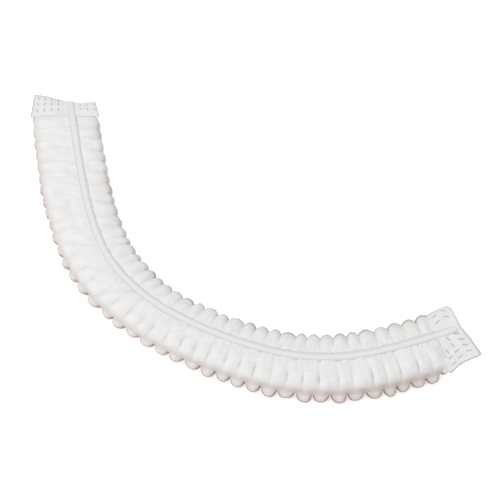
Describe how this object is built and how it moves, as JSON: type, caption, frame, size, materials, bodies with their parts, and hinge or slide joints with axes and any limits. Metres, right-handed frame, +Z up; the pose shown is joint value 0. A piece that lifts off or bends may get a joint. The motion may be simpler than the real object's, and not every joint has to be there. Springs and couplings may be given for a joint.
{
  "type": "bouffant cap",
  "caption": "Disposable nonwoven bouffant cap in its packed form: a folded, gathered strip in an open arc, with a flat elastic on top and welded end tabs.",
  "frame": {"origin": "under the middle of the strip's box, on the surface that the strip lies on", "axes": "+Z up from the surface; +X along the longer side of the arc, from the first tab's side to the last tab; the arc's hollow side opens towards +X and +Y"},
  "size_m": [0.2244, 0.1822, 0.0103],
  "materials": {
    "nonwoven": "matt spunbonded nonwoven, slightly translucent",
    "elastic": "matt ribbed elastic, faintly yellow"
  },
  "bodies": {
    "root": {"cap_sheet": "nonwoven", "elastic_band": "elastic"}
  },
  "joints": []
}
